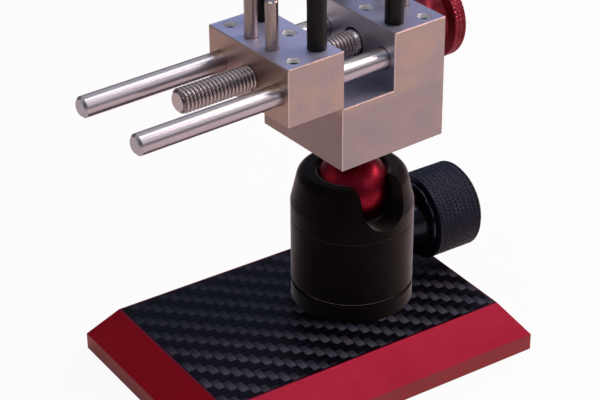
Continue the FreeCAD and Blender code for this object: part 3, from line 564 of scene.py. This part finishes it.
def soft_pad():
    """Matt soft pad with a fine cell pattern."""
    made = Finish("soft_pad", Specular_IOR_Level=0.3)
    inputs = {"Vector": made.scaled((1.2, 1.2, 1.2)), "Scale": 1.0}
    cells = made.node("ShaderNodeTexVoronoi", inputs).outputs["Distance"]
    speck = made.noise((3.0, 3.0, 3.0), detail=4)
    colour = made.mix(made.spread(cells, 0.1, 0.6), rgba(0.012, 0.012, 0.013), rgba(0.035, 0.034, 0.034))
    return made.done(colour, made.follow(speck, 0.7, 0.9), made.relief(cells, 0.08))


def plain_metal(name, tone, rough):
    """Small turned or pressed metal pieces: fine scratches and a little colour change."""
    made = Finish(name, Metallic=1.0)
    scratch = made.noise((0.6, 6.0, 6.0), detail=4, turn=(0.3, 0.2, 0.5))
    cloud = made.noise((0.4, 0.4, 0.4), detail=4)
    colour = made.mix(made.follow(cloud, 0.0, 1.0), shade(tone), shade(tone, 0.75))
    return made.done(colour, made.follow(scratch, *rough), made.relief(scratch, 0.008))


def seat_plastic():
    """Moulded black plastic with a faint grain."""
    made = Finish("seat_plastic", Specular_IOR_Level=0.4)
    grain = made.noise((2.0, 2.0, 2.0), detail=5)
    colour = made.mix(made.follow(grain, 0.0, 1.0), rgba(0.05, 0.05, 0.05), rgba(0.09, 0.09, 0.092))
    return made.done(colour, made.follow(grain, 0.5, 0.62), made.relief(grain, 0.03))


BLUISH = (0.7, 0.8, 1.0)
COLLAR_TONE = (0.002, 0.002, 0.0035)
KNOB_TONE = (0.0045, 0.0045, 0.011)
ROD_TONE, ROD_PAINTED_TOP_TINT = (0.54, 0.51, 0.56), (0.6, 0.49, 0.4)
FINISH = {
    "base_red": anodised_red("base_red", (0.48, 0.025, 0.058), (0.42, 0.02, 0.048), wall_top=4.72),
    "carbon": carbon_twill(),
    "pad_rubber": soft_pad(),
    "steel_black": plain_metal("steel_black", (0.05, 0.05, 0.055), (0.35, 0.5)),
    "head_black": turned_black("head_black", (0.0042, 0.0028, 0.003), (0.36, 0.46), 0.02, sheen=1.0),
    "collar_black": turned_black("collar_black", COLLAR_TONE, (0.18, 0.24), 0.42, axis=0, tint=BLUISH),
    "knob_black": turned_black(
        "knob_black", KNOB_TONE, (0.32, 0.42), 0.25, axis=0, tint=BLUISH, plain_from=LOCK_KNOB_PAINTED_SHADE
    ),
    "seat_plastic": seat_plastic(),
    "wedge_brass": plain_metal("wedge_brass", (0.62, 0.42, 0.16), (0.25, 0.4)),
    "ball_red": anodised_red("ball_red", (0.255, 0.011, 0.026), (0.17, 0.006, 0.02), grain=9.0),
    "vise_satin": milled_satin(),
    "rod_polished": polished_steel("rod_polished", ROD_TONE, (0.29, 0.3), above=ROD_PAINTED_TOP_TINT),
    "screw_steel": thread_steel(),
    "washer_steel": plain_metal("washer_steel", (0.5, 0.49, 0.48), (0.25, 0.4)),
    "knob_red": anodised_red("knob_red", (0.29, 0.034, 0.05), (0.23, 0.024, 0.037), grain=9.0),
    "pin_steel": polished_steel("pin_steel", (0.4, 0.335, 0.315), (0.28, 0.36)),
    "sleeve_black": shrink_tube(),
}


def finish_nodes():
    """Gives every CAD node that stays the finish of its material slot."""
    for part in frame["record"]["subparts"]:
        node = frame["nodes"][part["node"]]
        node.data.materials.clear()
        node.data.materials.append(FINISH[part["material_slot"]])


def stand_in(made, node, slot):
    """Sets a piece in the place of one CAD node, on that node's body."""
    made.data.materials.append(FINISH[slot])
    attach(made, frame["nodes"][node]["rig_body"])
    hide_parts(node)
    return made


# ---------------------------------------------------------------- pieces


def ball_and_stem():
    """Ball, waisted stem and flange, from one profile round the ball's centre."""
    ball, throat, stem, flange, under_block = 9.5, 4.65, 3.75, 7.0, 0.1
    reach = BLOCK_FLOOR - BALL_HIGH - under_block
    neck = math.degrees(math.acos(throat / ball))
    profile = [(-ball, 0.0)] + arc((0, 0), ball, -89, neck, 40)
    neck_from = profile[-1][0]
    waist = [
        (neck_from + 0.55, stem + 0.25),
        (neck_from + 1.2, stem),
        (reach - 2.9, stem),
        (reach - 1.9, stem + 0.15),
        (reach - 1.2, stem + 0.45),
        (reach - 0.85, stem + 0.75),
        (reach - 0.72, flange - 0.7),
        (reach - 0.7, flange - 0.2),
        (reach - 0.5, flange),
        (reach - 0.15, flange),
        (reach, flange - 0.15),
        (reach, 0.0),
    ]
    made = turned("ball_and_stem", profile + waist, UPRIGHT)
    return stand_in(made, "ball_stem", "ball_red")


def threaded_screw():
    """Lead screw with its right-hand helical thread up to the fixed jaw, then a plain shank."""
    start, end, crest = span("lead_screw", ON_SCREW)
    deep, pitch, bevel, plain_from = 0.55, 1.0, 0.8, -0.6
    flank, root_flat = 1.32, 0.1
    steps, per_turn = 48, 10
    rings = [[(0.0, 0.0, start)]]
    for count in range(int((plain_from - start) * per_turn / pitch)):
        reach = start + count * pitch / per_turn
        run_out = crest - deep * min(1.0, (plain_from - reach) / pitch)
        radii = []
        for i in range(steps):
            wave = tooth((reach - start) / pitch - i / steps)
            radius = crest - deep + deep * max(0.0, min(1.0, flank * wave - root_flat))
            radii.append(min(max(radius, run_out), crest - bevel + reach - start))
        rings.append(round_at(reach, radii))
    rings += [round_at(place, [crest] * steps) for place in (plain_from, end)]
    rings.append([(0.0, 0.0, end)])
    made = skin("threaded_screw", rings, ON_SCREW)
    return stand_in(made, "lead_screw", "screw_steel")


def jaw_knob():
    """Red knob: a waisted hub, then a rim with a coarse diamond knurl and a dished end."""
    face, end, rim = span("jaw_knob", ON_SCREW)
    bore, hub, flare_long, flare_high = 3.1, 5.0, 3.6, 2.5
    hub_end, rim_from = face + 3.4, end - 3.4
    shoulder, dish, dish_floor, dish_deep = 8.0, 8.6, 8.2, 0.35
    profile = [(face, bore), (face, hub - 0.2), (face + 0.2, hub), (hub_end, hub)]
    profile += [(hub_end + flare_long * t, hub + flare_high * t * t) for t in stretch(0.1, 1.0, 9)]
    profile += [(rim_from - 0.05, shoulder - 0.4), (rim_from, shoulder), (rim_from, rim - 0.4)]
    profile += [(rim_from + 0.1, rim - 0.14), (rim_from + 0.35, rim)]
    profile += [(place, rim) for place in stretch(rim_from + 0.5, end - 0.4, 16)]
    profile += [(end - 0.35, rim), (end - 0.1, rim - 0.14), (end, rim - 0.45)]
    profile += [(end, dish), (end - dish_deep, dish_floor), (end - dish_deep, 0.0)]
    knurl = diamonds(60, lead=1.1, deep=0.28, start=rim_from + 0.3, end=end - 0.3, fade=0.25, rim=rim)
    made = turned("red_knob", profile, ON_SCREW, steps=360, relief=knurl)
    return stand_in(made, "jaw_knob", "knob_red")


def lock_knob():
    """Black knob with a fine diamond knurl between two plain bevels."""
    face, end, rim = span("lock_knob", ON_LOCK)
    bore, bevel, dish, dish_floor, dish_deep = 2.9, LOCK_KNOB_BEVEL, 6.5, 6.2, 0.25
    knurl_from, knurl_to = face + 0.6, end - bevel - 0.1
    profile = [(face, bore), (face, rim - 0.5), (face + 0.15, rim - 0.15), (face + 0.5, rim)]
    profile += [(place, rim) for place in stretch(knurl_from, knurl_to, 60)]
    profile += [(end - bevel, rim), (end - bevel + 0.2, rim - 0.12), (end - 0.15, rim - bevel + 0.1)]
    profile += [(end, rim - bevel - 0.15), (end, dish), (end - dish_deep, dish_floor), (end - dish_deep, 0.0)]
    knurl = diamonds(72, lead=0.92, deep=0.22, start=knurl_from, end=knurl_to, fade=0.2, rim=rim)
    made = turned("black_knob", profile, ON_LOCK, steps=432, relief=knurl)
    return stand_in(made, "lock_knob", "knob_black")


def lock_collar():
    """Bright collar that widens evenly from the casing and then flares out to the knob."""
    start, end, large = span("lock_collar", ON_LOCK)
    bore, small, wider, flare, flare_from, flare_long = 3.0, 6.4, 1.26, 1.74, start + 0.6, 3.3
    profile = [(start, bore), (start, small - 0.1), (start + 0.1, small), (flare_from, small)]
    for t in stretch(0.05, 1.0, 19):
        profile.append((flare_from + flare_long * t, small + wider * t + flare * t**5))
    profile += [(end - 0.9, large - 0.1), (end - 0.7, large), (end - 0.15, large)]
    profile += [(end, large - 0.15), (end, bore)]
    made = turned("bright_collar", profile, ON_LOCK)
    return stand_in(made, "lock_collar", "collar_black")


def sleeve(node):
    """Shrunk tube over a post: a little uneven, drawn in at the top and flared at the foot."""
    low, high = (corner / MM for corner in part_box(node))
    place = Matrix.Translation(Vector(((low.x + high.x) / 2, (low.y + high.y) / 2, low.z)))
    _, long, outer = span(node, place)
    inner, ripple, per_mm = 1.52, 0.02, 0.9
    profile = [(0.0, inner), (0.0, outer - 0.12), (0.12, outer - 0.01)]
    for height in stretch(0.5, long - 0.9, 24):
        profile.append((height, outer - ripple - ripple * math.sin(height * per_mm)))
    profile += [(long - 0.5, outer - 0.06), (long - 0.15, outer - 0.14), (long, outer - 0.26), (long, inner)]
    made = turned(node + "_tube", profile, place, steps=48)
    return stand_in(made, node, "sleeve_black")


# ---------------------------------------------------------------- light, floor and camera


def stage_floor():
    """Pale warm paper. The camera sees it white, and mirrors see a part of that white."""
    to_camera, to_mirrors, half = 0.93, 0.08, 1.6
    material = bpy.data.materials.new("paper")
    material.use_nodes = True
    tree = material.node_tree
    shader = tree.nodes["Principled BSDF"]
    shader.inputs["Roughness"].default_value = 0.8
    shader.inputs["Base Color"].default_value = rgba(0.83, 0.69, 0.64)
    glow = tree.nodes.new("ShaderNodeEmission")
    path = tree.nodes.new("ShaderNodeLightPath")

    def combined(operation, first, second):
        made = tree.nodes.new("ShaderNodeMath")
        made.operation = operation
        for socket, value in zip(made.inputs, (first, second)):
            if isinstance(value, float):
                socket.default_value = value
            else:
                tree.links.new(value, socket)
        return made.outputs[0]

    mirrored = combined("MAXIMUM", path.outputs["Is Glossy Ray"], path.outputs["Is Transmission Ray"])
    mirrored = combined("MULTIPLY", mirrored, to_mirrors)
    seen = combined("MULTIPLY", path.outputs["Is Camera Ray"], to_camera)
    mix = tree.nodes.new("ShaderNodeMixShader")
    tree.links.new(combined("MAXIMUM", seen, mirrored), mix.inputs[0])
    tree.links.new(shader.outputs[0], mix.inputs[1])
    tree.links.new(glow.outputs[0], mix.inputs[2])
    tree.links.new(mix.outputs[0], tree.nodes["Material Output"].inputs["Surface"])

    mesh = bpy.data.meshes.new("floor")
    mesh.from_pydata(
        [(-half, -half, 0), (half, -half, 0), (half, half, 0), (-half, half, 0)], [], [(0, 1, 2, 3)]
    )
    mesh.materials.append(material)
    floor = bpy.data.objects.new("floor", mesh)
    bpy.context.scene.collection.objects.link(floor)


def sky():
    """Dim soft surroundings, warm near the horizon and cooler overhead, white to the camera."""
    world = bpy.data.worlds.new("studio")
    bpy.context.scene.world = world
    world.use_nodes = True
    tree = world.node_tree
    tree.nodes.clear()
    out = tree.nodes.new("ShaderNodeOutputWorld")
    direction = tree.nodes.new("ShaderNodeTexCoord").outputs["Generated"]
    split = tree.nodes.new("ShaderNodeSeparateXYZ")
    tree.links.new(direction, split.inputs[0])
    ramp = tree.nodes.new("ShaderNodeValToRGB")
    tree.links.new(split.outputs["Z"], ramp.inputs[0])
    stops = ramp.color_ramp.elements
    stops[0].position, stops[0].color = 0.0, rgba(0.09, 0.065, 0.055)
    stops[1].position, stops[1].color = 1.0, rgba(0.3, 0.36, 0.48)
    middle = stops.new(0.35)
    middle.color = rgba(0.14, 0.145, 0.17)
    soft = tree.nodes.new("ShaderNodeBackground")
    tree.links.new(ramp.outputs["Color"], soft.inputs["Color"])
    white = tree.nodes.new("ShaderNodeBackground")
    path = tree.nodes.new("ShaderNodeLightPath")
    mix = tree.nodes.new("ShaderNodeMixShader")
    tree.links.new(path.outputs["Is Camera Ray"], mix.inputs[0])
    tree.links.new(soft.outputs[0], mix.inputs[1])
    tree.links.new(white.outputs[0], mix.inputs[2])
    tree.links.new(mix.outputs[0], out.inputs["Surface"])


def softbox(name, azimuth, elevation, distance, size, level, colour):
    """A rectangular lamp whose face is as bright as level, aimed at the object's middle."""
    middle = Vector((0, 0, 0.05))
    lamp = bpy.data.lights.new(name, "AREA")
    lamp.shape = "RECTANGLE"
    lamp.size, lamp.size_y = size
    lamp.energy = level * math.pi * size[0] * size[1]
    lamp.color = colour
    made = bpy.data.objects.new(name, lamp)
    bpy.context.scene.collection.objects.link(made)
    away = towards(azimuth, elevation)
    made.location = middle + away * distance
    made.rotation_mode = "QUATERNION"
    made.rotation_quaternion = away.to_track_quat("Z", "Y")


# azimuth and elevation in degrees, distance and size in metres, level, colour
LAMPS = {
    "key": (72, 40, 0.8, (0.36, 0.36), 11.6, (1.0, 0.8, 0.74)),
    "front": (25, 28, 1.0, (0.6, 0.4), 0.8, (1.0, 0.97, 0.93)),
    "left": (-120, 25, 1.0, (0.6, 0.5), 0.42, (1.0, 0.8, 0.62)),
    "back": (147, 36, 1.0, (0.9, 0.55), 0.86, (0.42, 0.52, 0.86)),
    "strip": (-60, 66, 0.8, (0.6, 0.14), 4.6, (1.0, 0.97, 0.88)),
    "high": (96, 62, 0.9, (0.28, 0.28), 4.4, (0.9, 0.95, 1.0)),
}


def photo_camera():
    """The photo's camera: where it stands, and how far it leans."""
    azimuth, elevation, roll, distance = -33.26, 30.34, -0.46, 436.7
    target = Vector((-13.2, -16.8, 55.6))
    focal_pixels, photo_wide, sensor = 1939.6, 600, 36.0
    data = bpy.data.cameras.new("photo")
    data.sensor_width = sensor
    data.lens = focal_pixels * sensor / photo_wide
    data.clip_start, data.clip_end = 0.01, 10
    camera = bpy.data.objects.new("photo", data)
    bpy.context.scene.collection.objects.link(camera)
    back = towards(azimuth, elevation)
    lean = Matrix.Rotation(math.radians(roll), 3, "Z")
    turn = back.to_track_quat("Z", "Y").to_matrix() @ lean
    camera.matrix_world = Matrix.Translation((target + back * distance) * MM) @ turn.to_4x4()
    bpy.context.scene.camera = camera


finish_nodes()
ball_and_stem()
threaded_screw()
jaw_knob()
lock_knob()
lock_collar()
for jaw_name in ("moving", "fixed"):
    for side in ("front", "back"):
        sleeve(f"{jaw_name}_jaw_{side}_sleeve")
stage_floor()
sky()
for lamp_name, lamp in LAMPS.items():
    softbox(lamp_name, *lamp)
photo_camera()
bpy.context.scene.view_settings.view_transform = "Standard"
